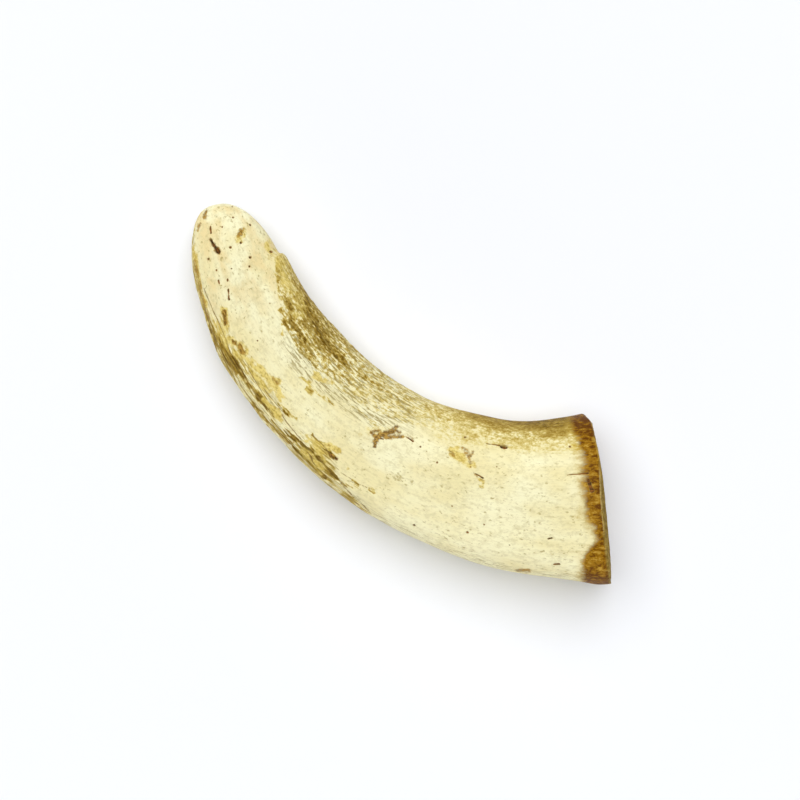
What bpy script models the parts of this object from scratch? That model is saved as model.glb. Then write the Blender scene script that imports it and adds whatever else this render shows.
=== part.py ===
"""Horn core of a water buffalo: the bony core of one horn, sawn off the skull and lying on its side.

The bone is one piece. A curved spine carries a cross-section that is broad and flat above, slopes away on
the hollow side of the bend and is rounded below. The rings of a sphere are laid along it: the first ones
cover the sawn end, which leans and holds a sinus hollow, and the last ones close on the blunt tip. +X
points the way the sawn end faces, and the bone lies on Z = 0.
"""

import math

import bmesh
import bpy
from mathutils import Vector, noise

MM = 0.001

# Driving sizes, in millimetres and degrees
SPINE_LENGTH = 174.5
# Distance along the spine from the sawn end, and the spine's place there
SPINE = (
    (-12, 78.8, -34.6),
    (0, 66.8, -34.6),
    (25, 40.4, -33.2),
    (50, 15.6, -27.2),
    (75, -7.0, -16.1),
    (100, -26.5, -0.7),
    (125, -42.3, 18.6),
    (150, -53.4, 40.9),
    (174.5, -61.5, 64.1),
)
# The spine to the inside of the bend, the spine to its outside, and the full depth from top to underside
INNER_WIDTHS = (
    (0, 30.3),
    (16, 27.6),
    (33, 25.2),
    (50, 24.3),
    (81, 21.6),
    (114, 19.1),
    (146, 16.8),
    (160, 17.0),
    (174.5, 18.3),
)
OUTER_WIDTHS = (
    (0, 26.5),
    (16, 24.4),
    (33, 22.9),
    (50, 21.3),
    (81, 19.2),
    (100, 17.7),
    (116, 16.7),
    (146, 14.1),
    (174.5, 12.8),
)
DEPTHS = ((0, 42.0), (33, 37.5), (65, 33.5), (97, 30.0), (130, 26.0), (174.5, 21.0))
WIDEST_AT = 0.47
TIP_ROUND_FROM = 145.0
TIP_LIFT_FROM = 105.0
TIP_LIFT = 3.0

# How full each quarter of the section is: 2 is an ellipse, more is squarer.
FULL_TOP_INNER = 1.9
FULL_TOP_OUTER = 2.7
FULL_UNDER_OUTER = 2.3
FULL_UNDER_INNER = 2.1

# The sawn end
CUT_SKEW = 10.0
CUT_LEAN = 8.5
RIM_ROUND = 0.5

# The sinus hollow in the sawn end, and the spongy bone around it, which stands a little below the rim
HOLLOW_ACROSS = 4.0
HOLLOW_UP = 1.5
HOLLOW_HALF_WIDTH = 5.4
HOLLOW_HALF_HEIGHT = 8.5
HOLLOW_LOBES = 0.16
HOLLOW_RAGGED = 0.25
# Share of the way in to the hollow's middle, and the depth there
HOLLOW_DEPTHS = ((0.0, 0.6), (0.05, 3.0), (0.13, 9.0), (0.26, 15.5), (0.45, 20.0), (0.70, 21.8), (1.0, 22.0))
SPONGE_DEPTH = 1.1
SPONGE_LUMPS = 0.5

# The brown outer skin of the bone, which stands proud of the pared tip on the hollow side of the bend
SKIN_RISE = 1.3
SKIN_END = 151.5
SKIN_FADE_FROM = 60.0
SKIN_LOW = -35.0
# Distance along the spine, and how far round the section the skin reaches there, in degrees
SKIN_HIGH = ((60, 66.0), (97, 72.0), (118, 71.0), (137, 64.0), (146, 50.0), (152, 36.0))

# Lengthwise blood-vessel grooves: middle in degrees round the section, depth, first and last distance
GROOVES = (
    (126.0, 0.55, 62, 160),
    (143.0, 0.80, 40, 166),
    (160.0, 0.60, 70, 150),
    (196.0, 0.90, 8, 120),
    (238.0, 0.80, 30, 150),
    (292.0, 1.00, 12, 135),
    (334.0, 0.70, 20, 110),
)
GROOVE_HALF_ANGLE = 6.5
GROOVE_WANDER = 9.0
# Worn dents, and where the depth is negative a swelling: distance along the spine, degrees round the
# section, half length, half angle, depth
DENTS = (
    (157.5, 134.0, 2.6, 9.0, 0.9),
    (74.0, 102.0, 4.0, 9.0, 0.5),
    (130.0, 180.0, 7.5, 32.0, -1.0),
    (52.0, 268.0, 6.0, 12.0, 0.8),
    (93.0, 300.0, 5.0, 10.0, 0.7),
)
LUMP_HEIGHT = 0.6
LUMP_LENGTH = 26.0
LUMP_WIDTH = 11.0

# Mesh: points round each ring, rings over the sawn end, and rings from there to the tip
AROUND = 60
SPONGE_RINGS = (0.12, 0.35, 0.6, 0.80, 0.90)
BODY_RINGS = 68


def smooth_through(stations, where):
    """The value at a distance, on a smooth curve through (distance, value) pairs."""
    last = len(stations) - 1
    i = 0
    while i < last - 1 and where > stations[i + 1][0]:
        i += 1

    def slope(k):
        before, after = stations[max(k - 1, 0)], stations[min(k + 1, last)]
        return (after[1] - before[1]) / (after[0] - before[0])

    (x0, y0), (x1, y1) = stations[i], stations[i + 1]
    span = x1 - x0
    t = min(max((where - x0) / span, 0.0), 1.0)
    start = y0 * (1 + 2 * t) * (1 - t) ** 2 + y1 * t * t * (3 - 2 * t)
    return start + span * (slope(i) * t * (1 - t) ** 2 - slope(i + 1) * t * t * (1 - t))


def ease(low, high, value):
    """0 below low, 1 above high, and a smooth step between."""
    t = min(max((value - low) / (high - low), 0.0), 1.0)
    return t * t * (3 - 2 * t)


def spine_place(along):
    x = smooth_through([(station[0], station[1]) for station in SPINE], along)
    y = smooth_through([(station[0], station[2]) for station in SPINE], along)
    return Vector((x, y, 0.0))


def spine_at(along):
    """Place, direction towards the tip and direction towards the inside of the bend, at a distance."""
    nearby = min(along, SPINE_LENGTH - 1)
    towards_tip = (spine_place(nearby + 1) - spine_place(nearby - 1)).normalized()
    return spine_place(along), towards_tip, Vector((towards_tip.y, -towards_tip.x, 0.0))


def tip_rounding(along):
    """The share of the section's size that is left as the tip closes."""
    over = (along - TIP_ROUND_FROM) / (SPINE_LENGTH - TIP_ROUND_FROM)
    return math.sqrt(max(1 - max(over, 0.0) ** 2, 0.0))


def relief(along, degrees):
    """How far the surface stands out from the plain section, in millimetres."""
    height = 0.0
    for middle, depth, first, last in GROOVES:
        wander = GROOVE_WANDER * noise.noise(Vector((along / 28, middle, 0.5)))
        off = (degrees - middle - wander + 180) % 360 - 180
        length_share = ease(first, first + 18, along) * (1 - ease(last - 18, last, along))
        length_share *= 0.75 + 0.7 * noise.noise(Vector((along / 13, middle, 5.5)))
        height -= depth * length_share * math.exp(-((off / GROOVE_HALF_ANGLE) ** 2))
    turned = math.radians(degrees)
    round_place = Vector((math.cos(turned), math.sin(turned))) * 20 / LUMP_WIDTH
    height += LUMP_HEIGHT * noise.noise(Vector((along / LUMP_LENGTH, *round_place)))
    for middle_along, middle, half_length, half_angle, depth in DENTS:
        off = (degrees - middle + 180) % 360 - 180
        height -= depth * math.exp(-(((along - middle_along) / half_length) ** 2) - (off / half_angle) ** 2)
    from_middle = (degrees + 180) % 360 - 180
    high = smooth_through(SKIN_HIGH, along)
    skin = ease(SKIN_LOW - 12, SKIN_LOW + 12, from_middle) * (1 - ease(high - 6, high + 6, from_middle))
    skin *= ease(SKIN_FADE_FROM, SKIN_FADE_FROM + 50, along) * (1 - ease(SKIN_END - 2, SKIN_END, along))
    return height + SKIN_RISE * skin


def section_offset(along, degrees):
    """The surface's offset from the spine's floor line, as (towards the inside of the bend, up)."""
    turned = math.radians(degrees)
    over, up = math.cos(turned), math.sin(turned)
    if up >= 0:
        full = FULL_TOP_INNER if over >= 0 else FULL_TOP_OUTER
    else:
        full = FULL_UNDER_INNER if over >= 0 else FULL_UNDER_OUTER
    depth = smooth_through(DEPTHS, along)
    width = smooth_through(INNER_WIDTHS if over >= 0 else OUTER_WIDTHS, along)
    rise = depth * (1 - WIDEST_AT if up >= 0 else WIDEST_AT)
    reach = tip_rounding(along)
    across = math.copysign(abs(over) ** (2 / full), over) * width * reach
    above = math.copysign(abs(up) ** (2 / full), up) * rise * reach
    outwards = Vector((over / width, up / rise)).normalized()
    outwards *= relief(along, degrees) * min(reach * 1.5, 1.0)
    lift = TIP_LIFT * ease(TIP_LIFT_FROM, SPINE_LENGTH, along) + depth * WIDEST_AT
    return across + outwards.x, above + lift + outwards.y


def surface_point(along, degrees):
    """A point of the bone's outside, in millimetres."""
    place, _, inwards = spine_at(along)
    across, up = section_offset(along, degrees)
    return place + inwards * across + Vector((0, 0, up))


def cut_distance(degrees, trim=0.0):
    """How far along the spine the sawn edge lies at an angle round the section."""
    across, up = section_offset(0.0, degrees)
    up -= DEPTHS[0][1] * WIDEST_AT
    return across * math.tan(math.radians(CUT_SKEW)) + up * math.tan(math.radians(CUT_LEAN)) + trim


def hollow_edge(degrees, share=0.0):
    """The hollow's outline, a share of the way in, as (towards the inside of the bend, up)."""
    turned = math.radians(degrees)
    ragged = noise.noise(Vector((math.cos(turned) * 1.7, math.sin(turned) * 1.7, 1.5 + 3 * share)))
    reach = 1 + HOLLOW_LOBES * math.cos(2 * turned + 0.9) + HOLLOW_RAGGED * ragged
    across = HOLLOW_ACROSS + HOLLOW_HALF_WIDTH * reach * math.cos(turned)
    return across, HOLLOW_UP + HOLLOW_HALF_HEIGHT * reach * math.sin(turned)


def on_cut(across, up, depth):
    """A point of the sawn end, across and up from its middle and that deep below the cut."""
    place, towards_tip, inwards = spine_at(0.0)
    setback = across * math.tan(math.radians(CUT_SKEW)) + up * math.tan(math.radians(CUT_LEAN)) + depth
    return place + inwards * across + Vector((0, 0, up + DEPTHS[0][1] * WIDEST_AT)) + towards_tip * setback


def rim_edge(degrees):
    """The sawn edge, just inside the bone's outside, as (towards the inside of the bend, up)."""
    across, up = section_offset(0.0, degrees)
    edge = Vector((across, up - DEPTHS[0][1] * WIDEST_AT))
    return edge - edge.normalized() * RIM_ROUND


def hollow_point(share, degrees):
    """A point of the hollow's wall: share is 0 at its edge and 1 at its deepest."""
    across, up = hollow_edge(degrees, share)
    across += (HOLLOW_ACROSS - across) * share
    up += (HOLLOW_UP - up) * share
    return on_cut(across, up, smooth_through(HOLLOW_DEPTHS, share))


def sponge_point(share, degrees):
    """A point of the sawn face: share is 0 at the hollow's edge and 1 at the rim."""
    edge = Vector(hollow_edge(degrees))
    spot = edge.lerp(rim_edge(degrees), share)
    below = SPONGE_DEPTH + SPONGE_LUMPS * noise.noise(Vector((spot.x / 5, spot.y / 5, 4.5)))
    return on_cut(spot.x, spot.y, below * (1 - ease(0.55, 0.80, share)))


def bone_point(ring, degrees):
    """Where a ring of the sphere goes: the hollow, the sawn face, then along the bone to the tip."""
    hollow_rings = len(HOLLOW_DEPTHS)
    if ring < hollow_rings:
        return hollow_point(HOLLOW_DEPTHS[-1 - ring][0], degrees)
    ring -= hollow_rings
    if ring < len(SPONGE_RINGS):
        return sponge_point(SPONGE_RINGS[ring], degrees)
    ring -= len(SPONGE_RINGS)
    if ring == 0:
        return on_cut(*rim_edge(degrees), 0.0)
    share = ring / BODY_RINGS
    share = 0.35 * share + 0.65 * math.sin(share * math.pi / 2)
    first = cut_distance(degrees, RIM_ROUND)
    return surface_point(first + (SPINE_LENGTH - first) * share, degrees)


def bone_material():
    material = bpy.data.materials.new("bone")
    material.use_nodes = True
    shader = material.node_tree.nodes["Principled BSDF"]
    shader.inputs["Base Color"].default_value = (0.80, 0.70, 0.40, 1.0)
    shader.inputs["Roughness"].default_value = 0.6
    shader.inputs["Metallic"].default_value = 0.0
    return material


def make_horn_core(collection):
    """The whole bone, from a sphere whose rings are moved to the bone's surface."""
    rings = len(HOLLOW_DEPTHS) + len(SPONGE_RINGS) + BODY_RINGS
    mesh = bpy.data.meshes.new("horn_core")
    shape = bmesh.new()
    bmesh.ops.create_uvsphere(shape, u_segments=AROUND, v_segments=rings, radius=1.0)
    for vert in shape.verts:
        from_pole = math.acos(min(max(-vert.co.z, -1.0), 1.0))
        ring = round(from_pole / math.pi * rings)
        degrees = math.degrees(math.atan2(vert.co.y, vert.co.x)) % 360
        vert.co = bone_point(ring, degrees) * MM
    bmesh.ops.recalc_face_normals(shape, faces=shape.faces)
    lows = [min(vert.co[axis] for vert in shape.verts) for axis in range(3)]
    highs = [max(vert.co[axis] for vert in shape.verts) for axis in range(3)]
    to_origin = Vector((-(lows[0] + highs[0]) / 2, -(lows[1] + highs[1]) / 2, -lows[2]))
    bmesh.ops.translate(shape, verts=shape.verts, vec=to_origin)
    shape.to_mesh(mesh)
    shape.free()
    mesh.shade_smooth()
    mesh.set_sharp_from_angle(angle=math.radians(40))
    mesh.materials.append(bone_material())
    core = bpy.data.objects.new("horn_core", mesh)
    collection.objects.link(core)
    return core


for old in list(bpy.data.objects):
    bpy.data.objects.remove(old)
horn = bpy.data.collections.new("buffalo_horn_core")
bpy.context.scene.collection.children.link(horn)
make_horn_core(horn)
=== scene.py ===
"""The looks of a buffalo's horn core: dry bone, pared pale above, brown and grooved on its flanks."""

import math
import random

import bmesh
import bpy
import numpy as np
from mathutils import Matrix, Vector, noise
from mathutils.bvhtree import BVHTree


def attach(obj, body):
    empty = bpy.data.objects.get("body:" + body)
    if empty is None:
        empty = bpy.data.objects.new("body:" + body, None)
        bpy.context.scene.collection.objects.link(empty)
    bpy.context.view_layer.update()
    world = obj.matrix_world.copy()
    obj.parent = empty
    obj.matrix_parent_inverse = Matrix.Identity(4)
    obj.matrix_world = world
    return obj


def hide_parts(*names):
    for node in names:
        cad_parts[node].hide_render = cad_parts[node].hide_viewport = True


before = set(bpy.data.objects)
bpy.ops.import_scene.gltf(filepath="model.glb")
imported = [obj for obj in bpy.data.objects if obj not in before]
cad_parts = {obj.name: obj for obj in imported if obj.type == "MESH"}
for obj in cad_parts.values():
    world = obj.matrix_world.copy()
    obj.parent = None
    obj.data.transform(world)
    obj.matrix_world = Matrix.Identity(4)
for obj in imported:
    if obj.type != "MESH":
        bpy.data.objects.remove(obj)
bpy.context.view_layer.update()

MM = 0.001

# THE BONE
# A horn core is living bone that the horn sheath grew over, sawn off the skull, dried, and pared pale on its
# broad faces. It is one piece: the plain solid, rounded by subdivision, with its fine relief and colours.

bone_form = bmesh.new()
bone_form.from_mesh(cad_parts["horn_core"].data)
bmesh.ops.remove_doubles(bone_form, verts=bone_form.verts, dist=0.002 * MM)
bmesh.ops.join_triangles(
    bone_form,
    faces=bone_form.faces,
    angle_face_threshold=math.pi,
    angle_shape_threshold=math.pi,
)

# The sawn edge stays a little sharper than subdivision leaves it
SHARP_ANGLE = math.radians(32)
SHARP_FROM_X = 55 * MM
SHARPNESS = 0.3
crease = bone_form.edges.layers.float.new("crease_edge")
for edge in bone_form.edges:
    if edge.calc_face_angle(0.0) > SHARP_ANGLE and edge.verts[0].co.x > SHARP_FROM_X:
        edge[crease] = SHARPNESS
bone_mesh = bpy.data.meshes.new("horn_core_bone")
bone_form.to_mesh(bone_mesh)
bone_form.free()
bone = bpy.data.objects.new("horn_core_bone", bone_mesh)
bpy.context.scene.collection.objects.link(bone)

# Rounded once, it is the mesh to refine, and rounded twice, the smooth surface that new points are set on
rounding = bone.modifiers.new("rounding", "SUBSURF")
rounded = []
for level in (1, 2):
    rounding.levels = level
    bpy.context.view_layer.update()
    evaluated = bone.evaluated_get(bpy.context.evaluated_depsgraph_get())
    rounded.append(bpy.data.meshes.new_from_object(evaluated))
bone.modifiers.clear()
bone.data = rounded[0]
bone.data.name = "horn_core_bone"
bpy.data.meshes.remove(bone_mesh)
smooth_form = bmesh.new()
smooth_form.from_mesh(rounded[1])
smooth_surface = BVHTree.FromBMesh(smooth_form)
smooth_form.free()
bpy.data.meshes.remove(rounded[1])

# The bone's middle line seen from above, from the sawn end to the tip: distance along it, x, y, and the
# height at which the bone is widest there, with the half widths on both sides and the rise to top and bottom
MIDDLE_LINE = (
    (-12, 76.78, -36.40, 20.1),
    (0, 64.78, -36.40, 20.1),
    (25, 38.38, -35.00, 18.5),
    (50, 13.58, -29.00, 17.0),
    (75, -9.02, -17.90, 15.6),
    (100, -28.52, -2.50, 14.3),
    (125, -44.32, 16.80, 13.5),
    (150, -55.42, 39.10, 13.7),
    (174.5, -63.52, 62.30, 13.3),
)
INNER_WIDTHS = (
    (0, 30.3),
    (16, 27.6),
    (33, 25.2),
    (50, 24.3),
    (81, 21.6),
    (114, 19.1),
    (146, 16.8),
    (160, 17.0),
    (174.5, 18.3),
)
OUTER_WIDTHS = (
    (0, 26.5),
    (16, 24.4),
    (33, 22.9),
    (50, 21.3),
    (81, 19.2),
    (100, 17.7),
    (116, 16.7),
    (146, 14.1),
    (174.5, 12.8),
)
DEPTHS = ((0, 42.0), (33, 37.5), (65, 33.5), (97, 30.0), (130, 26.0), (174.5, 21.0))


def along_curve(stations, where, column=1):
    """Values of a column at distances, on a smooth curve through the stations."""
    knots = np.array([station[0] for station in stations], float)
    values = np.array([station[column] for station in stations], float)
    slopes = np.empty(len(knots))
    slopes[1:-1] = (values[2:] - values[:-2]) / (knots[2:] - knots[:-2])
    slopes[0] = (values[1] - values[0]) / (knots[1] - knots[0])
    slopes[-1] = (values[-1] - values[-2]) / (knots[-1] - knots[-2])
    i = np.clip(np.searchsorted(knots, where, side="right") - 1, 0, len(knots) - 2)
    span = knots[i + 1] - knots[i]
    t = np.clip((where - knots[i]) / span, 0, 1)
    start = values[i] * (1 + 2 * t) * (1 - t) ** 2 + values[i + 1] * t * t * (3 - 2 * t)
    return start + span * (slopes[i] * t * (1 - t) ** 2 - slopes[i + 1] * t * t * (1 - t))


def ease(low, high, value):
    """0 below low, 1 above high, and a smooth step between, on whole arrays."""
    t = np.clip((value - low) / (high - low), 0, 1)
    return t * t * (3 - 2 * t)


def straightened(points):
    """Points in millimetres as distance along the bone, across it towards the inside of the bend, and up."""
    steps = np.arange(-12, 180, 0.5)
    steps = steps[steps <= MIDDLE_LINE[-1][0]]
    line = np.stack([along_curve(MIDDLE_LINE, steps, 1), along_curve(MIDDLE_LINE, steps, 2)], 1)
    forward = np.gradient(line, axis=0)
    forward /= np.linalg.norm(forward, axis=1)[:, None]
    along, across = np.empty(len(points)), np.empty(len(points))
    for first in range(0, len(points), 5000):
        some = points[first : first + 5000, :2]
        nearest = ((some[:, None, :] - line[None]) ** 2).sum(2).argmin(1)
        off = some - line[nearest]
        ahead = forward[nearest]
        along[first : first + 5000] = steps[nearest] + (off * ahead).sum(1)
        across[first : first + 5000] = off[:, 0] * ahead[:, 1] - off[:, 1] * ahead[:, 0]
    return along, across, points[:, 2] - along_curve(MIDDLE_LINE, along, 3)


def vertex_places(mesh):
    places = np.empty(len(mesh.vertices) * 3)
    mesh.vertices.foreach_get("co", places)
    return places.reshape(-1, 3) / MM


def vertex_normals(mesh):
    normals = np.empty(len(mesh.vertices) * 3, np.float32)
    mesh.vertices.foreach_get("normal", normals)
    return normals.reshape(-1, 3).astype(float)


# Pits, vessel holes and cracks on the upper side: both ends as (along, across), half width at each end,
# and depth
HOLLOWS = (
    (167.0, -1.8, 164.8, -2.2, 0.35, 0.5, 0.35),
    (162.7, -2.9, 158.2, -1.9, 0.55, 1.0, 1.5),
    (167.6, 6.1, 167.6, 6.1, 0.5, 0.5, 0.45),
    (163.7, 10.8, 163.7, 10.8, 0.55, 0.55, 0.5),
    (171.5, 7.0, 171.5, 7.0, 0.35, 0.35, 0.3),
    (165.5, 1.8, 165.5, 1.8, 0.4, 0.4, 0.3),
    (158.0, 2.4, 158.0, 2.4, 0.65, 0.65, 0.5),
    (152.6, 7.3, 152.6, 7.3, 0.75, 0.75, 0.8),
    (149.7, 6.0, 149.7, 6.0, 0.55, 0.55, 0.5),
    (156.9, -5.8, 156.9, -5.8, 0.55, 0.55, 0.4),
    (152.6, -4.3, 152.6, -4.3, 0.4, 0.4, 0.35),
    (149.4, -4.9, 148.4, -5.1, 0.45, 0.4, 0.35),
    (151.2, 0.5, 151.2, 0.5, 0.4, 0.4, 0.3),
    (148.5, -2.2, 148.1, -2.4, 0.45, 0.45, 0.4),
    (145.4, -3.2, 144.6, -3.3, 0.55, 0.5, 0.6),
    (144.6, -3.3, 142.4, -4.1, 0.25, 0.55, 0.5),
    (135.5, 7.2, 135.5, 7.2, 0.5, 0.5, 0.4),
    (152.4, 14.2, 152.2, 14.4, 0.6, 0.6, 0.5),
    (126.5, -2.1, 126.5, -2.1, 0.4, 0.4, 0.25),
    (158.5, 6.1, 158.5, 6.1, 0.6, 0.6, 0.5),
    (75.0, 3.9, 74.2, 4.1, 0.35, 0.35, 0.3),
    (67.1, 8.6, 65.1, 8.3, 0.3, 0.45, 0.35),
    (62.0, 7.6, 62.0, 7.6, 0.5, 0.5, 0.4),
    (54.8, 5.3, 54.8, 5.3, 0.5, 0.5, 0.4),
    (59.4, 7.2, 59.4, 7.2, 0.25, 0.25, 0.2),
    (35.2, -9.0, 35.2, -9.0, 0.45, 0.45, 0.35),
    (39.3, -12.9, 39.3, -12.9, 0.5, 0.5, 0.4),
    (54.0, -16.4, 54.0, -16.4, 0.45, 0.45, 0.3),
    (45.7, -6.1, 45.7, -6.1, 0.35, 0.35, 0.25),
    (27.0, -14.2, 27.0, -14.2, 0.35, 0.35, 0.25),
    (16.8, -10.7, 15.9, -10.4, 0.35, 0.4, 0.35),
    (14.6, -19.1, 13.2, -18.8, 0.3, 0.4, 0.35),
    (35.2, 9.7, 35.2, 9.7, 0.4, 0.4, 0.3),
    (48.6, 16.0, 48.6, 16.0, 0.45, 0.45, 0.35),
    (11.7, 18.7, 11.7, 18.7, 0.5, 0.5, 0.3),
    (43.7, 7.7, 43.7, 7.7, 0.35, 0.35, 0.25),
    (41.6, 6.0, 38.9, 5.3, 0.2, 0.4, 0.35),
    (40.5, 16.2, 35.0, 16.6, 0.12, 0.3, 0.35),
    (34.9, 16.5, 33.2, 16.5, 0.7, 1.0, 1.2),
    (12.5, 9.9, 8.3, 10.3, 0.15, 0.28, 0.35),
    (8.3, 10.3, 7.5, 10.5, 0.4, 0.55, 0.5),
    (7.4, 8.6, 6.2, 4.8, 0.5, 0.8, 0.7),
    (83.4, -9.9, 82.9, -10.1, 0.6, 0.6, 0.6),
    (85.0, -9.8, 84.4, -10.2, 0.45, 0.45, 0.4),
)
# Cracks and vessel grooves that follow the grain down the outside of the bend: points as (along, across),
# half width and depth
CRACKS = (
    (((149, -10.8), (143.2, -10.9), (138.5, -11.0), (133.3, -10.9), (128.1, -11.9)), 0.25, 0.47),
    (((127, -11.9), (123.5, -12.1), (119.5, -12.7), (115.7, -12.8), (110.2, -13.2), (105, -13.3)),
     0.34, 0.68),
    (((140, -13.2), (133.3, -14.0), (129.9, -14.4), (125.5, -14.5), (118.4, -15.2), (112.1, -15.8)),
     0.28, 0.55),
    (((111, -15.8), (106.4, -16.0), (100, -16.3), (94, -16.6)), 0.22, 0.42),
    (((104, -11.0), (99, -11.6), (95, -12.0)), 0.22, 0.34),
    (((100.0, -13.3), (97.5, -13.5), (93.5, -13.2)), 0.25, 0.42),
    (((93.1, -8.4), (89.0, -8.9), (84.9, -9.9)), 0.25, 0.38),
    (((91.0, -14.5), (86.7, -15.7), (82.0, -17.0)), 0.28, 0.47),
    (((88.0, -13.2), (83.8, -13.9), (79.0, -14.6)), 0.22, 0.38),
    (((78.0, -15.7), (73.2, -17.3), (66.0, -19.4)), 0.28, 0.47),
    (((76.5, -13.2), (69.6, -11.8)), 0.12, 0.26),
    (((82.0, -12.3), (75.8, -12.4)), 0.12, 0.26),
    (((114.0, -9.6), (108.0, -9.9), (103.5, -10.0)), 0.15, 0.26),
    (((121.0, -10.0), (115.0, -10.6), (110.5, -11.2)), 0.15, 0.26),
)
# Worn pinholes on the sides and underside, where the photograph doesn't show the bone
PINHOLES = 85
PINHOLE_SEED = 11

# The plane of the sawn end, how far its face bulges out at places across it, and its corner that is worn off
CUT_NORMAL = np.array((0.97939, 0.13998, 0.14561))
CUT_POINT = np.array((67.82, -59.20, 21.58))
END_BULGE = ((-26, 0.0), (-20, 0.25), (-8, 0.7), (4, 1.2), (12, 1.4), (20, 1.1), (26, 0.9), (30, 0.6))
CORNER_NORMAL = np.array((0.641, 0.768, 0.0))
CORNER_REACH = 32.0
CORNER_WEAR = 0.92


def behind_cut(points):
    """How far points lie behind the plane of the sawn end, in millimetres."""
    return (CUT_POINT - points) @ CUT_NORMAL


def section_place(along, across, up):
    """The angle round the section in degrees, 0 inside the bend and 90 on top, and the share of its size."""
    depth = along_curve(DEPTHS, along)
    width = np.where(across > 0, along_curve(INNER_WIDTHS, along), along_curve(OUTER_WIDTHS, along))
    rise = depth * np.where(up > 0, 0.53, 0.47)
    share = (np.abs(across / width) ** 2.2 + np.abs(up / rise) ** 2.2) ** (1 / 2.2)
    return np.degrees(np.arctan2(up / rise, across / width)) % 360, share


def hollow_segments():
    """Every pit and every stretch of a crack as (start, end, half width at both, depth, darkness)."""
    segments = [((s0, a0), (s1, a1), r0, r1, depth, 1.0) for s0, a0, s1, a1, r0, r1, depth in HOLLOWS]
    for path, half_width, depth in CRACKS:
        for start, end in zip(path, path[1:]):
            segments.append((start, end, half_width, half_width, depth, 0.62))
    return segments


def wavering(along, across, up, stretch, size, seed, octaves=2):
    """Noise drawn out along the grain: its size along and across, in millimetres."""
    places = np.stack([along / stretch, across / size, up / size], 1) + seed
    return np.array([noise.fractal(place, 1.0, 2.0, octaves) for place in places.tolist()])


def hollow_depths(along, across, up, spread=0.0):
    """How deep each point lies in a pit or crack, and its darkness, or with a spread what lies that near."""
    wide = 1 + 0.45 * wavering(along, across, up, 1.6, 1.1, 7.7)
    bent = across + 0.25 * wavering(along, across, up, 5.0, 4.0, 3.1)
    deep = np.zeros(len(along))
    dark = np.zeros(len(along))
    upper = ease(-4.0, -1.0, up)
    for (s0, a0), (s1, a1), r0, r1, depth, darkness in hollow_segments():
        length2 = max((s1 - s0) ** 2 + (a1 - a0) ** 2, 1e-6)
        t = np.clip(((along - s0) * (s1 - s0) + (bent - a0) * (a1 - a0)) / length2, 0, 1)
        off = np.hypot(along - s0 - t * (s1 - s0), bent - a0 - t * (a1 - a0))
        half = (r0 + (r1 - r0) * t) * wide * 0.8 + spread
        inside = (1 - ease(0.25, 1.15, off / half)) * upper
        deep = np.maximum(deep, depth * inside)
        dark = np.maximum(dark, inside * darkness)
    return deep, dark


def pinhole_depths(along, across, up, centres, spread=0.0):
    deep = np.zeros(len(along))
    for s, a, u, half, depth in centres:
        off = np.sqrt(((along - s) / 1.7) ** 2 + (across - a) ** 2 + (up - u) ** 2)
        deep = np.maximum(deep, depth * (1 - ease(0.3, 1.1, off / (half + spread))))
    return deep


# Where the horn sheath's bed is left, on both flanks, the bone is brown and furrowed by blood vessels. This
# is how far across the upper side the brown skin reaches, inside and outside the bend, and how brown it is
INNER_EDGE = (
    (-5, 22.5), (9, 21.2), (14, 20.6), (25, 20.1), (36, 19.6), (47, 17.8), (56, 15.5), (71, 11.5),
    (83, 9.6), (95, 8.2), (102, 7.9), (110, 6.8), (118, 6.8), (124, 7.8), (128, 8.9), (134, 10.0),
    (140, 11.4), (149, 14.7), (152, 16.5), (175, 20.0),
)
# Near the sawn end the inner values are high partly as painted shade, where the upper side turns down to the
# inner flank.
INNER_BROWN = (
    (-5, 0.98), (8, 0.95), (20, 0.92), (35, 0.86), (46, 0.68), (55, 0.43), (64, 0.27), (75, 0.21),
    (88, 0.22), (97, 0.24), (104, 0.32), (112, 0.42), (120, 0.50), (130, 0.50), (140, 0.44),
    (150, 0.38), (152, 0.3), (153.5, 0.0), (175, 0.0),
)
OUTER_EDGE = (
    (-5, 23.0), (20, 21.0), (40, 19.0), (53, 18.0), (63, 17.5), (70, 16.5), (76, 15.0), (80, 13.0),
    (84, 10.5), (90, 9.0), (95, 9.8), (100, 10.5), (105, 9.0), (109, 7.6), (115, 7.4), (122, 8.2),
    (128, 8.8), (132, 9.4), (138, 9.8), (143, 10.2), (150, 10.8), (157, 9.8), (163, 9.0), (168, 7.0),
    (175, 4.0),
)
OUTER_BROWN = (
    (-5, 0.03), (50, 0.03), (60, 0.04), (70, 0.06), (76, 0.08), (82, 0.20), (88, 0.25), (94, 0.14),
    (98, 0.05), (103, 0.04), (108, 0.10), (114, 0.17), (122, 0.27), (132, 0.32), (143, 0.32),
    (150, 0.27), (160, 0.32), (168, 0.30), (175, 0.2),
)
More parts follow.
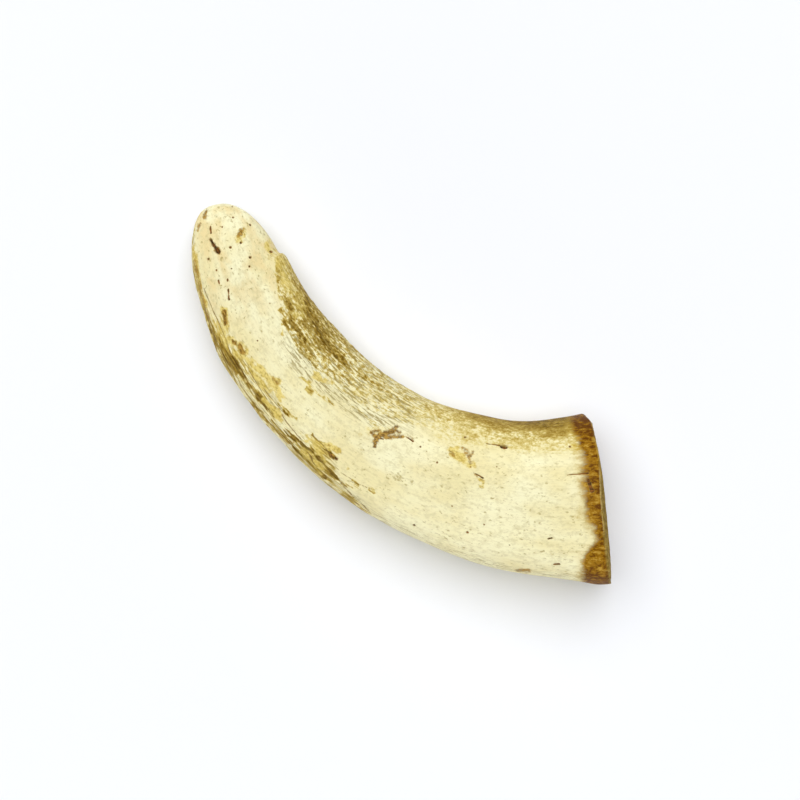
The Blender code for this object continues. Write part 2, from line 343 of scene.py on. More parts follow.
# The darkest streaks in the brown skin: both ends as (along, across), half width and how brown
STREAKS = (
    (144.7, -13.1, 138.6, -14.6, 0.9, 0.60), (136.6, -14.2, 130.8, -12.7, 1.2, 0.78),
    (130.8, -12.7, 125.1, -12.7, 1.3, 0.95), (125.1, -12.7, 120.6, -12.2, 1.0, 0.95),
    (133.1, -15.0, 127.6, -14.2, 0.9, 0.65), (127.6, -14.2, 122.4, -14.1, 0.9, 0.65),
    (117.8, -12.7, 112.9, -12.8, 0.6, 0.80), (112.9, -12.8, 108.3, -12.7, 0.7, 1.00),
    (108.3, -12.7, 104.7, -12.3, 0.6, 0.85), (100.0, -13.3, 95.2, -13.5, 0.5, 0.85),
    (93.3, -13.1, 90.1, -12.8, 0.8, 0.88), (94.0, -16.0, 89.0, -16.1, 1.0, 0.75),
    (89.0, -16.1, 83.1, -17.2, 0.9, 0.95), (87.5, -13.4, 83.9, -14.0, 0.9, 0.92),
    (83.9, -14.0, 80.3, -14.8, 0.8, 0.88), (92.8, -8.5, 88.3, -9.3, 0.35, 0.80),
    (88.3, -9.3, 84.6, -9.8, 0.45, 0.95), (75.7, -18.7, 66.0, -21.0, 0.8, 0.65),
    (77.6, -15.2, 74.8, -14.8, 0.4, 0.45), (75.6, -12.6, 73.0, -12.7, 0.4, 0.45),
    (70.0, -11.8, 68.8, -11.8, 0.6, 0.40), (113.2, -15.8, 105.9, -16.4, 0.5, 0.60),
    (105.9, -16.4, 97.2, -16.6, 0.5, 0.5), (105.9, -14.6, 101.0, -15.3, 0.4, 0.55),
    (101.0, -15.3, 95.8, -15.0, 0.5, 0.60), (106.7, -9.0, 100.2, -8.8, 0.4, 0.60),
    (141.0, 18.2, 131.1, 17.3, 1.0, 0.65), (131.1, 17.3, 122.4, 16.7, 1.5, 0.84),
    (122.4, 16.7, 114.3, 15.5, 1.5, 0.95), (114.3, 15.5, 107.1, 15.2, 1.4, 0.94),
    (107.1, 15.2, 101.0, 15.3, 1.0, 0.80), (134.0, 12.8, 126.0, 10.5, 1.2, 0.64),
    (126.0, 10.5, 118.0, 10.2, 1.3, 0.72), (118.0, 10.2, 112.0, 9.5, 1.0, 0.60),
    (148.0, 14.9, 139.7, 11.8, 0.5, 0.65), (132.0, 9.6, 124.0, 8.0, 0.5, 0.65),
    (100.0, 12.0, 92.0, 11.5, 0.6, 0.40), (96.0, 16.5, 84.0, 17.0, 0.7, 0.42),
    (107.1, 2.2, 102.2, 1.9, 0.5, 0.50), (102.2, 1.9, 94.0, 3.8, 0.35, 0.42),
    (90.1, 7.5, 78.6, 6.4, 0.25, 0.40),
)
# Brown stains, ochre smears and the olive film left by soft tissue, on the upper side: both ends as (along,
# across), half width and strength
STAINS = (
    (173.0, -1.8, 170.4, -3.0, 0.7, 0.8), (169.2, -4.7, 167.2, -6.3, 0.6, 0.7),
    (159.0, -2.0, 158.0, -1.8, 1.0, 1.0), (162.7, 7.5, 161.2, 6.4, 0.9, 0.85),
    (78.8, 3.7, 76.1, 3.3, 0.6, 0.9), (78.4, 4.0, 76.9, 6.0, 0.5, 0.75),
    (76.3, 3.3, 75.3, 0.7, 0.75, 1.0), (76.2, 3.8, 74.6, 6.0, 1.0, 1.0),
    (74.8, 6.0, 73.0, 7.6, 1.05, 1.0), (73.6, 8.0, 72.6, 9.8, 0.6, 0.9),
    (74.2, 4.8, 71.6, 6.4, 0.6, 0.85), (71.6, 6.6, 69.2, 7.8, 0.65, 0.85),
    (73.0, 8.4, 70.3, 8.7, 0.5, 0.85), (67.1, 8.6, 65.1, 8.3, 0.4, 0.6),
    (47.8, 12.5, 45.8, 11.0, 0.9, 0.68), (45.8, 11.0, 44.0, 8.9, 0.7, 0.72),
    (44.4, 12.6, 44.7, 11.0, 0.6, 0.8), (51.9, 10.1, 50.4, 9.7, 0.7, 0.75),
    (42.2, 6.4, 38.6, 4.4, 0.45, 0.62), (139.4, -7.4, 136.2, -8.8, 0.8, 0.95),
    (130.2, -9.0, 129.4, -8.7, 0.7, 0.95), (128.0, -8.1, 126.3, -7.9, 0.8, 1.0),
    (129.4, -8.7, 127.6, -8.0, 0.6, 0.75), (113.9, -5.4, 112.1, -4.8, 0.6, 0.65),
    (84.9, -9.8, 83.0, -9.7, 0.6, 0.8), (88.5, -8.1, 85.6, -7.3, 0.7, 0.5),
    (23.3, -22.0, 20.9, -22.3, 0.9, 0.7), (149.8, -12.2, 140.4, -13.4, 0.8, 0.7),
    (158.0, -10.5, 149.8, -12.2, 0.8, 0.7),
)
SMEARS = (
    (162.1, -9.6, 153.7, -11.3, 0.9, 1.0), (153.7, -11.3, 144.8, -12.8, 0.9, 1.0),
    (162.3, 7.7, 159.6, 5.9, 1.4, 0.8), (155.9, 14.0, 152.4, 14.3, 0.9, 0.8),
    (139.9, -6.8, 135.4, -9.5, 1.2, 1.1), (137.0, -11.0, 130.0, -11.0, 1.6, 0.75),
    (131.0, -9.3, 126.0, -7.7, 1.3, 1.0), (126.5, -9.8, 121.4, -7.7, 1.3, 1.0),
    (121.4, -7.7, 117.1, -6.4, 1.2, 1.1), (117.1, -6.6, 111.2, -6.2, 1.3, 1.1),
    (111.2, -6.2, 107.8, -7.1, 0.9, 1.0), (120.0, -9.3, 112.0, -9.0, 1.0, 0.8),
    (113.9, -5.4, 112.1, -4.8, 0.8, 1.0), (110.8, -11.9, 104.1, -11.6, 0.9, 1.1),
    (93.5, -10.5, 89.8, -9.4, 1.1, 1.0), (88.8, -8.4, 83.7, -7.0, 1.0, 1.1),
    (90.5, -11.0, 86.6, -12.0, 1.0, 0.9), (92.0, -15.0, 85.0, -15.5, 1.6, 0.8),
    (78.6, -9.9, 77.8, -9.9, 0.7, 0.8), (105.7, 6.2, 99.7, 7.7, 0.9, 0.9),
    (107.3, 2.2, 104.2, 2.0, 0.7, 0.8), (50.5, 10.5, 43.5, 8.0, 1.8, 0.9),
    (79.5, 3.0, 74.0, 7.5, 2.0, 0.6), (38.9, 4.4, 38.3, 3.2, 1.0, 0.75),
    (150.0, 15.8, 128.0, 13.5, 2.6, 0.62), (125.0, 6.4, 124.0, 5.6, 0.5, 0.8),
    (11.0, 19.0, 6.0, 18.0, 1.2, 0.7),
)
GREY_FILM = (
    (66.1, -4.8, 63.0, -3.5, 1.6, 0.9), (63.0, -3.5, 60.2, -4.0, 1.5, 0.9),
    (34.8, -6.4, 29.4, -5.9, 1.3, 0.7), (23.8, -3.0, 20.4, -2.2, 1.1, 0.7),
    (30.0, -10.5, 18.0, -9.5, 2.2, 0.5), (52.0, -14.0, 36.0, -17.5, 2.0, 0.5),
    (14.0, -14.0, 9.0, -13.5, 2.0, 0.6), (20.0, -15.5, 12.0, -17.0, 1.6, 0.6),
    (42.0, 0.0, 34.0, -1.5, 1.6, 0.45),
)
# Heights of the relief, in millimetres
SKIN_LIP = 0.40
OUTER_FURROWS = 0.38
INNER_FURROWS = 0.22
INNER_PORES = 0.14
FACE_FURROWS = 0.035
SWELLINGS = 0.10
SAWN_ROUGHNESS = 0.12
CELL_DEPTH = 0.75
# The longest edges of the mesh in millimetres: on plain bone, on the flanks, on the skin inside the bend, in
# stains, at holes and on the sawn face. Each pass halves long edges, and reaches past the holes by less.
PLAIN_EDGE = 1.5
FLANK_EDGE = 0.7
SKIN_EDGE = 0.45
STAIN_EDGE = 0.5
HOLE_EDGE = 0.28
SAWN_EDGE = 0.6
HOLE_MARGINS = (0.5, 0.3, 0.1)


def patch_strength(patches, along, across, up):
    """How strongly each point of the upper side lies in patches, fading out at their edges."""
    strength = np.zeros(len(along))
    for s0, a0, s1, a1, half, most in patches:
        length2 = max((s1 - s0) ** 2 + (a1 - a0) ** 2, 1e-6)
        t = np.clip(((along - s0) * (s1 - s0) + (across - a0) * (a1 - a0)) / length2, 0, 1)
        off = np.hypot(along - s0 - t * (s1 - s0), across - a0 - t * (a1 - a0))
        strength = np.maximum(strength, most * (1 - ease(0.2, 1.9, off / half)))
    inside = strength > 0
    lowest = 3.0 * wavering(along[inside], across[inside], up[inside], 7.0, 3.0, 15.1)
    strength[inside] *= ease(-3.0, 2.5, up[inside] + lowest)
    return strength


def past_edges(along, across, angle):
    """How far each point lies inside the brown skin of the inner flank, and of the outer flank."""
    inner = np.minimum(across - along_curve(INNER_EDGE, along), (((angle + 180) % 360) - 140) * 0.35)
    outer = np.minimum(-across - along_curve(OUTER_EDGE, along), (214 - angle) * 0.35)
    return inner, outer


# The pinholes' places, drawn from the points of the low sides
places = vertex_places(bone.data)
along, across, up = straightened(places)
angle, share = section_place(along, across, up)
low_side = np.nonzero((behind_cut(places) > 2.5) & (share > 0.8) & ((angle < 20) | (angle > 165)))[0]
draw = random.Random(PINHOLE_SEED)
pinholes = []
for pick in draw.sample(low_side.tolist(), PINHOLES):
    pinholes.append((along[pick], across[pick], up[pick], draw.uniform(0.35, 0.8), draw.uniform(0.3, 0.7)))

# The mesh is cut finer where the surface has small relief or stains
fine_form = bmesh.new()
fine_form.from_mesh(bone.data)
for margin in HOLE_MARGINS:
    fine_form.edges.ensure_lookup_table()
    middles = np.array([((edge.verts[0].co + edge.verts[1].co) / 2)[:] for edge in fine_form.edges]) / MM
    lengths = np.array([edge.calc_length() for edge in fine_form.edges]) / MM
    along, across, up = straightened(middles)
    behind = behind_cut(middles)
    angle, share = section_place(along, across, up)
    past_inner, past_outer = past_edges(along, across, angle)
    patched = patch_strength(STAINS + SMEARS + STREAKS + GREY_FILM, along, across, up) > 0
    near_hole = hollow_depths(along, across, up, margin)[0] > 0
    near_hole |= pinhole_depths(along, across, up, pinholes, margin) > 0
    on_flank = ((past_inner > -1.0) | (past_outer > -1.0)) & (along > 60) & (along < 165) & (up > -12)
    longest = np.full(len(lengths), PLAIN_EDGE)
    longest[on_flank] = FLANK_EDGE
    longest[(past_inner > -0.5) & (along > 92) & (along < 153) & (up > -3)] = SKIN_EDGE
    longest[patched] = STAIN_EDGE
    longest[near_hole] = HOLE_EDGE
    longest[(behind > 0.2) & (behind < 2.6) & (share < 0.86)] = SAWN_EDGE
    chosen = [fine_form.edges[i] for i in np.nonzero(lengths > longest)[0]]
    bmesh.ops.subdivide_edges(fine_form, edges=chosen, cuts=1, use_grid_fill=True)
for vertex in fine_form.verts:
    vertex.co = smooth_surface.find_nearest(vertex.co)[0]
fine_form.to_mesh(bone.data)
fine_form.free()

places = vertex_places(bone.data)
normals = vertex_normals(bone.data)
along, across, up = straightened(places)
behind = behind_cut(places)
angle, share = section_place(along, across, up)

# The sawn face with its spongy middle and hollow, the brown skin's reach, and how brown each point is
sawn = (behind < 0.4) | ((behind < 2.7) & (share < 0.86)) | ((behind < 25) & (share < 0.6))
ragged = 0.8 * wavering(along, across, up, 6.0, 3.0, 1.3)
past_inner, past_outer = past_edges(along, across, angle)
past_inner += ragged
past_outer += ragged
inner_skin = ease(-0.3, 0.7, past_inner) * (1 - ease(151.5, 153.0, along))
outer_skin = ease(-0.5, 1.5, past_outer)
base_share = 1 - ease(50, 80, along)
rising = 1 - 0.28 * (1 - ease(2.0, 9.0, past_inner)) - 0.37 * base_share * (1 - ease(0.5, 4.5, past_inner))
inner_brown = inner_skin * along_curve(INNER_BROWN, along) * rising
turned_away = ease(188, 206, angle) * ease(45, 85, along)
outer_level = along_curve(OUTER_BROWN, along) * (1 - turned_away) + 0.5 * turned_away
outer_brown = outer_skin * outer_level * (0.75 + 0.25 * ease(1.0, 6.0, past_outer))
underneath = ease(225, 250, angle) * (1 - ease(300, 325, angle))
under_brown = underneath * (0.16 + 0.3 * wavering(along, across, up, 22.0, 9.0, 9.4))
# A brown haze on the upper side next to the inner edge near the sawn end: partly brown bone, partly painted
# shade where the surface turns down to the flank.
base_brown_and_shade = 0.28 * ease(-7.5, 0.0, past_inner) * (1 - ease(45, 72, along))
brown = np.maximum(np.maximum(inner_brown, outer_brown), np.maximum(under_brown, base_brown_and_shade))

# Furrows along the grain, the ragged edges of stains, and the height of the surface
furrows = wavering(along, across, up, 16.0, 1.5, 5.2, 3)
broad_furrows = -np.abs(wavering(along, across, up, 26.0, 3.6, 8.8, 2))
ragged_along = along + 1.3 * wavering(along, across, up, 2.2, 1.6, 11.3, 3)
ragged_across = across + 1.1 * wavering(along, across, up, 3.0, 1.4, 12.9, 3)
brown = np.maximum(brown, patch_strength(STREAKS, ragged_along, ragged_across, up))
# Browner down in the furrows and paler on their ridges: partly brown in the grooves, partly painted shade in
# the furrows and painted highlight on the ridges.
furrow_brown_and_shade = 0.22 * ease(0.05, 0.45, -furrows) - 0.16 * ease(0.1, 0.5, furrows)
brown += furrow_brown_and_shade * outer_skin * ease(55, 85, along)
brown = np.clip(brown, 0, 1)
pit_depth, pit_dark = hollow_depths(along, across, up)
pinhole_depth = pinhole_depths(along, across, up, pinholes)
relief = SKIN_LIP * ease(0.0, 1.1, past_inner) * (1 - ease(150.8, 152.0, along)) * ease(96, 118, along)
relief += INNER_FURROWS * furrows * inner_skin * ease(50, 90, along)
relief += OUTER_FURROWS * (furrows + 2.2 * broad_furrows) * outer_skin * ease(45, 80, along)
relief += OUTER_FURROWS * (0.5 * furrows + 1.2 * broad_furrows) * underneath
relief += FACE_FURROWS * furrows * (1 - inner_skin) * (1 - outer_skin)
relief += SWELLINGS * wavering(along, across, up, 11.0, 7.0, 2.6)
relief += INNER_PORES * wavering(along, across, up, 2.0, 1.0, 4.9) * inner_skin * ease(60, 100, along)
relief *= 1 - 0.8 * ease(3.0, 0.5, np.minimum(behind, 3.0))
relief -= pit_depth + pinhole_depth

# The spongy middle: open cells between thin walls, deeper towards the hollow
cells = np.array([noise.voronoi((place / 1.9).tolist())[0] for place in places[sawn]])
between = cells[:, 1] - cells[:, 0]
spongy = ease(0.80, 0.66, share[sawn])
cell_depth = np.zeros(len(places))
cell_depth[sawn] = spongy * ease(0.06, 0.38, between)
sawn_relief = SAWN_ROUGHNESS * wavering(along, across, up, 2.0, 2.0, 6.1) - CELL_DEPTH * cell_depth
relief = np.where(sawn, sawn_relief, relief)
in_hollow = np.where(sawn, ease(2.2, 5.0, behind), 0.0)
relief = relief * (1 - 0.6 * in_hollow)

# The sawn face bulges a little, and its corner at the inside of the bend is worn off
places += normals * relief[:, None]
places += CUT_NORMAL * (along_curve(END_BULGE, across) * (1 - ease(0.0, 14.0, behind)))[:, None]
corner_reach = CORNER_REACH + 0.9 * np.abs(wavering(along, across, up, 5.0, 6.0, 14.2))
corner_reach += 0.004 * (up - 3) ** 2
upper_bulge = (0.8 + 0.5 * ease(2, 12, across)) * ease(2, 16, up) * (1 - ease(0.0, 6.0, behind))
places += CUT_NORMAL * upper_bulge[:, None]
past_corner = np.maximum(places @ CORNER_NORMAL - corner_reach, 0) * ease(55.0, 56.5, places[:, 0])
places -= CORNER_NORMAL * (CORNER_WEAR * past_corner)[:, None]
bone.data.vertices.foreach_set("co", (places * MM).ravel())
bone.data.shade_smooth()
bone.data.update()

# How wide the orange-brown band along the sawn edge is on the upper side, from the outside of the bend to
# the inside, in millimetres
END_BAND = (
    (-27, 9.2), (-21, 8.0), (-15.7, 6.6), (-13, 4.6), (-10.4, 2.9), (-6, 3.4), (-1.4, 4.8), (7, 4.6),
    (15, 4.0), (20, 4.6), (25, 5.6), (29, 5.8),
)
upper = ease(-3.0, 3.0, up)
band_width = upper * along_curve(END_BAND, across) + (1 - upper) * 4.5
band_width += 0.8 * wavering(along, across, up, 3.0, 3.0, 4.4)
dashed_zone = ease(-6.5, -2.0, past_inner) * ease(62, 82, along) * (1 - ease(112, 128, along))
line_share = np.maximum(0.62 * outer_skin, dashed_zone)
inner_lines = 0.45 * inner_skin * (0.3 + 0.7 * ease(50, 85, along))
lines = np.clip(line_share + inner_lines + 0.6 * underneath + 0.10, 0, 1)


def keep_on_points(name, *columns):
    kept = bone.data.attributes.new(name, "FLOAT_VECTOR", "POINT")
    kept.data.foreach_set("vector", np.stack(columns, 1).astype(np.float32).ravel())


keep_on_points("grain", along, across, up)
smears = patch_strength(SMEARS, ragged_along, ragged_across, up)
grey_film = patch_strength(GREY_FILM, ragged_along, ragged_across, up)
stains = patch_strength(STAINS, 0.6 * along + 0.4 * ragged_along, 0.6 * across + 0.4 * ragged_across, up)
keep_on_points("skin", brown, smears, stains)
keep_on_points("wear", np.maximum(pit_dark, np.clip(pinhole_depth * 2.5, 0, 1)), band_width - behind, lines)
keep_on_points("sawing", sawn.astype(float), cell_depth, in_hollow)
keep_on_points("film", grey_film, inner_skin, behind)


class Wire:
    """A value on its way through the material. Sums written with wires add their own Math nodes."""

    def __init__(self, socket):
        self.socket = socket

    def make(self, kind, settings=None, values=None, output=0):
        """A node of a kind with its settings and its sockets' values or wires, and the wire out of it."""
        tree = self.socket.id_data
        new = tree.nodes.new(kind)
        for name, setting in (settings or {}).items():
            if name != "stops":
                setattr(new, name, setting)
                continue
            while len(new.color_ramp.elements) < len(setting):
                new.color_ramp.elements.new(0.5)
            for stop, (place, tint) in zip(new.color_ramp.elements, setting):
                stop.position = place
                stop.color = (*tint, 1.0)
        for name, value in (values or {}).items():
            if isinstance(value, Wire):
                tree.links.new(value.socket, new.inputs[name])
            else:
                new.inputs[name].default_value = value
        return Wire(new.outputs[output])

    def sum(self, operation, first, second):
        return self.make("ShaderNodeMath", {"operation": operation}, {0: first, 1: second})

    def __add__(self, other):
        return self.sum("ADD", self, other)

    def __sub__(self, other):
        return self.sum("SUBTRACT", self, other)

    def __rsub__(self, other):
        return self.sum("SUBTRACT", other, self)

    def __mul__(self, other):
        return self.sum("MULTIPLY", self, other)

    __radd__ = __add__
    __rmul__ = __mul__

    def most(self, other):
        return self.sum("MAXIMUM", self, other)

    def step(self, low, high):
        """0 where the value is at low, 1 at high, and a smooth step between."""
        settings = {"interpolation_type": "SMOOTHSTEP"}
        return self.make("ShaderNodeMapRange", settings, {"Value": self, "From Min": low, "From Max": high})

    def blend(self, first, second):
        """The first colour where the value is 0, the second where it is 1."""
        colours = {"Factor": self, 6: first, 7: second}
        return self.make("ShaderNodeMix", {"data_type": "RGBA"}, colours, 2)

    def parts(self):
        split = self.make("ShaderNodeSeparateXYZ", {}, {0: self})
        return [Wire(output) for output in split.socket.node.outputs]


def colour(red, green, blue):
    return (red, green, blue, 1.0)


# Dry bone is cream where it was scraped and brown where the sheath's bed is left. Old tissue left ochre
# smears and dark stains, and the sawn edge took up an orange-brown dye.
bone_finish = bpy.data.materials.new("dry bone")
bone_finish.use_nodes = True
bone_shader = bone_finish.node_tree.nodes["Principled BSDF"]
start = Wire(bone_shader.outputs[0])


def kept(name):
    return start.make("ShaderNodeAttribute", {"attribute_name": name}, {}, "Vector")


grain = kept("grain")
brown_of, smear_of, stain_of = kept("skin").parts()
hole, band_left, line_amount = kept("wear").parts()
sawn_face, cell, hollow_shade = kept("sawing").parts()
film_of, inner_side, from_saw = kept("film").parts()


def grain_noise(size, stretch, detail=2.0, roughness=0.5, shift=0.0):
    """Noise in blotches of a size across the grain, drawn out along it."""
    scale = (1 / (size * stretch), 1 / size, 1 / size)
    place = start.make(
        "ShaderNodeVectorMath", {"operation": "MULTIPLY_ADD"}, {0: grain, 1: scale, 2: (shift, shift, shift)}
    )
    sockets = {"Vector": place, "Scale": 1.0, "Detail": detail, "Roughness": roughness}
    return place.make("ShaderNodeTexNoise", {}, sockets, "Fac")


clouds = grain_noise(11.0, 1.8, 3.0, 0.5, 2.0)
blotches = grain_noise(4.0, 1.5, 5.0, 0.62, 9.0)
mottle = grain_noise(1.5, 1.35, 5.0, 0.7, 91.0)
fibres = grain_noise(1.0, 7.5, 4.0, 0.62, 5.0)
pores = grain_noise(0.85, 1.9, 3.0, 0.6, 17.0)
speckle = grain_noise(0.7, 1.8, 4.0, 0.66, 13.0)
fissures = grain_noise(0.85, 16.0, 3.0, 0.55, 21.0)
dashes = grain_noise(0.58, 8.5, 3.0, 0.55, 31.0)
freckles = grain_noise(0.8, 1.6, 2.0, 0.5, 41.0)

CREAM = colour(0.815, 0.73, 0.405)
PALE_CREAM = colour(0.885, 0.84, 0.55)
WARM_CREAM = colour(0.79, 0.65, 0.33)
DULL_CREAM = colour(0.60, 0.53, 0.28)
FRECKLE = colour(0.42, 0.335, 0.125)
FISSURE = colour(0.31, 0.225, 0.055)
OCHRE_PALE = colour(0.76, 0.61, 0.18)
OCHRE = colour(0.54, 0.38, 0.065)
STAIN = colour(0.15, 0.070, 0.007)
STAIN_PALE = colour(0.44, 0.26, 0.05)
# The next colour is painted shade, for the inside of pits, cracks and the sawn face's cells.
HOLE_SHADE = colour(0.050, 0.026, 0.008)
HOLE_RED = colour(0.27, 0.092, 0.017)
HOLE_RIM = colour(0.33, 0.215, 0.06)
BAND = colour(0.30, 0.142, 0.005)
BAND_DARK = colour(0.12, 0.040, 0.001)
BAND_LIGHT = colour(0.50, 0.305, 0.045)
# The next colour is a painted highlight for the sawn edge.
EDGE_HIGHLIGHT = colour(0.50, 0.39, 0.15)
SAWN = colour(0.19, 0.115, 0.014)
SAWN_PALE = colour(0.37, 0.255, 0.055)
BROWNS = (
    (0.0, (0.79, 0.69, 0.35)),
    (0.22, (0.69, 0.57, 0.215)),
    (0.45, (0.48, 0.345, 0.080)),
    (0.68, (0.315, 0.198, 0.027)),
    (0.88, (0.205, 0.118, 0.008)),
    (1.0, (0.125, 0.066, 0.003)),
)

# Pale bone, cloudy, with warm patches at the tip and fine freckles
along_bone, across_bone = grain.parts()[:2]
surface = clouds.step(0.34, 0.64).blend(CREAM, PALE_CREAM)
at_tip = along_bone.step(120.0, 155.0)
warmth = grain_noise(6.0, 1.5, 3.0, 0.5, 51.0).step(0.40, 0.64) * (at_tip * 0.85 + 0.12)
surface = warmth.blend(surface, WARM_CREAM)
surface = (mottle.step(0.47, 0.62) * 0.42).blend(surface, DULL_CREAM)
freckling = freckles.step(0.59, 0.70) * (blotches.step(0.44, 0.58) * 0.50 + at_tip * 0.22 + 0.18)
surface = freckling.blend(surface, FRECKLE)
filmed = (film_of + (freckles - 0.5) * 2.4).step(0.75, 1.15) * film_of.step(0.0, 0.3)
surface = (filmed * 0.6).blend(surface, FRECKLE)

# Brown skin, streaked along the grain, and softly mottled towards the sawn end inside the bend
softened = along_bone.step(84.0, 52.0) * across_bone.step(1.0, 7.0)
streaky = (fibres - 0.5) * (2.7 - inner_side * 1.3) * (1.0 - softened * 0.86)
streaky = streaky + (pores - 0.5) * (inner_side * 2.5 + 0.1) * (1.0 - softened * 0.75)
streaky = streaky + (speckle - 0.5) * 1.1 + (mottle - 0.5) * (softened * 1.2)
streaky = streaky + (blotches - 0.5) * (softened * 0.8)
browning = brown_of + streaky * (brown_of.step(0.0, 0.30) * 0.9)
browned = browning.make("ShaderNodeValToRGB", {"stops": BROWNS}, {0: browning})
surface = (browning.step(0.03, 0.30) * brown_of.step(0.0, 0.06)).blend(surface, browned)

# Fine dark fissures and dashes along the grain
fissured = (fissures.step(0.47, 0.5) * fissures.step(0.53, 0.5)) * (fibres.step(0.42, 0.58) * line_amount)
dashed = dashes.step(0.52, 0.61) * line_amount
surface = (fissured.most(dashed) * 0.78).blend(surface, FISSURE)

# Ochre smears and dark stains
smeared = (smear_of + (blotches - 0.5) * 1.4 + (mottle - 0.5) * 1.6).step(0.22, 0.95)
ochre = (mottle * 0.5 + speckle * 0.5).step(0.44, 0.60).blend(OCHRE_PALE, OCHRE)
surface = (smeared * 0.9).blend(surface, ochre)
surface = (smeared * speckle.step(0.56, 0.66) * 0.6).blend(surface, FISSURE)
stain_edge = stain_of + (mottle - 0.5) * 1.6 + (speckle - 0.5) * 0.9
stained = stain_edge.step(0.30, 0.85) * stain_of.step(0.0, 0.25)
stain_colour = (mottle * 0.3 + speckle * 0.7).step(0.45, 0.57).blend(STAIN, STAIN_PALE)
surface = (stained * 0.96).blend(surface, stain_colour)

# The dyed band along the sawn edge, then the holes, near-black inside as painted shade, and a paler line at
# the edge itself, a painted highlight
ragged_band = band_left + (blotches - 0.5) * 3.4 + (mottle - 0.5) * 3.2 + (speckle - 0.5) * 1.6
surface = (ragged_band.step(-3.0, 0.3) * 0.42).blend(surface, OCHRE)
banded = ragged_band.step(-1.3, 1.3)
corners = across_bone.step(19.0, 27.0) * 0.16 + across_bone.step(-16.0, -24.0) * 0.10
band_tone = (blotches - 0.5) * 0.7 + (mottle - 0.5) * 1.7 + (speckle - 0.5) * 1.0 - corners
band_tone = band_tone + from_saw.step(0.0, 2.5) * 0.10 - 0.11
band_colour = band_tone.step(-0.22, 0.06).blend(BAND_DARK, BAND)
band_colour = (band_tone.step(0.05, 0.32) * 0.9).blend(band_colour, BAND_LIGHT)
surface = banded.blend(surface, band_colour)
surface = (hole.step(0.02, 0.40) * (mottle.step(0.3, 0.6) * 0.4 + 0.4)).blend(surface, HOLE_RIM)
# Near-black inside pits and cracks is painted shade; the red-brown mixed into it is dirt.
surface = (hole.step(0.25, 0.85) * 0.93).blend(surface, speckle.step(0.40, 0.62).blend(HOLE_SHADE, HOLE_RED))
# A paler broken line along the sawn edge, painted as a highlight where the sharp edge catches light.
sawn_edge_highlight = from_saw.step(0.75, 0.35) * speckle.step(0.30, 0.52) * across_bone.step(14.0, 9.0)
surface = (sawn_edge_highlight * 0.8).blend(surface, EDGE_HIGHLIGHT)

# The sawn face: its browns darkened partly as painted shade, near-black in its cells and darker deeper in
# the hollow as painted shade, and lighter band colour towards the inside of the bend as painted light
# against its own shading
sawn_colour = grain_noise(1.4, 1.0, 4.0, 0.65, 71.0).step(0.38, 0.66).blend(SAWN, SAWN_PALE)
sawn_colour = (across_bone.step(6.0, 14.0) * blotches.step(0.36, 0.60) * 0.8).blend(sawn_colour, BAND_LIGHT)
sawn_colour = cell.step(0.15, 0.75).blend(sawn_colour, HOLE_SHADE)
sawn_colour = (hollow_shade * 0.75).blend(sawn_colour, BAND_DARK)
surface = sawn_face.blend(surface, sawn_colour)

fine_relief = (
    fissured * -0.10
    + dashed * -0.06
    + (fibres - 0.5) * (brown_of * 0.35 + 0.05)
    + (speckle - 0.5) * (brown_of * 0.18 + 0.03)
    + (mottle - 0.5) * 0.12
    + (pores - 0.5) * (inner_side * 0.20)
    + grain_noise(0.35, 1.3, 3.0, 0.6, 81.0) * 0.06
)
bump = {"Height": fine_relief, "Strength": 0.9, "Distance": MM}
tree = bone_finish.node_tree
tree.links.new(surface.socket, bone_shader.inputs["Base Color"])
tree.links.new(start.make("ShaderNodeBump", {}, bump).socket, bone_shader.inputs["Normal"])
rough = 0.62 - browning.step(0.2, 0.9) * 0.10 - banded * 0.10 + sawn_face * 0.12
tree.links.new(rough.socket, bone_shader.inputs["Roughness"])
bone_shader.inputs["Specular IOR Level"].default_value = 0.05
bone.data.materials.clear()
bone.data.materials.append(bone_finish)
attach(bone, "root")
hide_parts("horn_core")

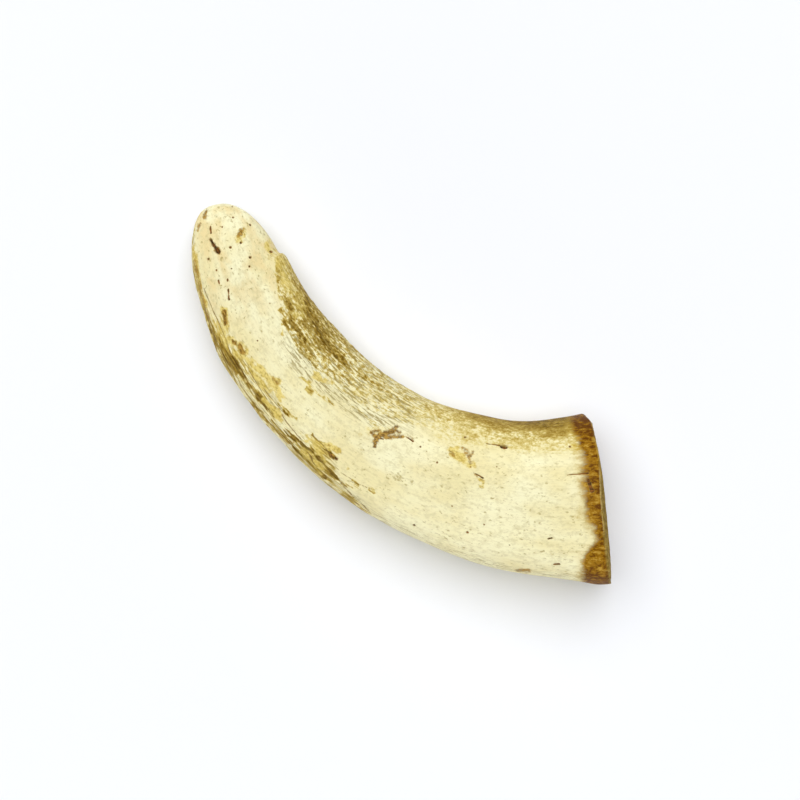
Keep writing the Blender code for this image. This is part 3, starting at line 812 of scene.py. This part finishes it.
# THE FLOOR, LIGHT AND CAMERA
# The bone lies on a white floor in a room with bright walls and a dim ceiling, under soft light from
# overhead, a little from behind, and the camera looks straight down.

floor_mesh = bpy.data.meshes.new("floor")
floor_form = bmesh.new()
bmesh.ops.create_grid(floor_form, x_segments=1, y_segments=1, size=6.0)
floor_form.to_mesh(floor_mesh)
floor_form.free()
floor = bpy.data.objects.new("floor", floor_mesh)
bpy.context.scene.collection.objects.link(floor)
floor_finish = bpy.data.materials.new("white paper")
floor_finish.use_nodes = True
paper = floor_finish.node_tree.nodes["Principled BSDF"]
paper.inputs["Base Color"].default_value = (0.895, 0.90, 0.93, 1.0)
paper.inputs["Roughness"].default_value = 0.9
paper.inputs["Specular IOR Level"].default_value = 0.0
floor_mesh.materials.append(floor_finish)

lamp_data = bpy.data.lights.new("overhead light", "SUN")
lamp_data.energy = 3.30
lamp_data.angle = math.radians(64)
lamp_data.color = (0.975, 0.99, 1.0)
lamp = bpy.data.objects.new("overhead light", lamp_data)
lamp.location = (-0.05, 0.33, 1.08)
lamp.rotation_euler = (Vector((0, 0, 0)) - Vector(lamp.location)).to_track_quat("-Z", "Y").to_euler()
bpy.context.scene.collection.objects.link(lamp)

sky = bpy.data.worlds.new("white room")
sky.use_nodes = True
room = sky.node_tree.nodes["Background"]
depth, height = Wire(room.outputs[0]).make("ShaderNodeTexCoord", {}, {}, "Generated").parts()[1:]
walls = height.step(0.40, 0.10).blend(colour(0.03, 0.03, 0.03), colour(0.98, 0.99, 1.0))
walls = (depth.step(-0.30, -0.85) * height.step(0.22, 0.06)).blend(walls, colour(5.0, 5.0, 5.0))
sky.node_tree.links.new(walls.socket, room.inputs["Color"])
room.inputs["Strength"].default_value = 1.0
bpy.context.scene.world = sky
bpy.context.scene.view_settings.view_transform = "Standard"

camera_data = bpy.data.cameras.new("camera")
camera_data.sensor_width = 36.0
camera_data.lens = 84.8
camera_data.clip_end = 20.0
camera = bpy.data.objects.new("camera", camera_data)
camera.location = (-0.8 * MM, -2.3 * MM, 638 * MM)
bpy.context.scene.collection.objects.link(camera)
bpy.context.scene.camera = camera
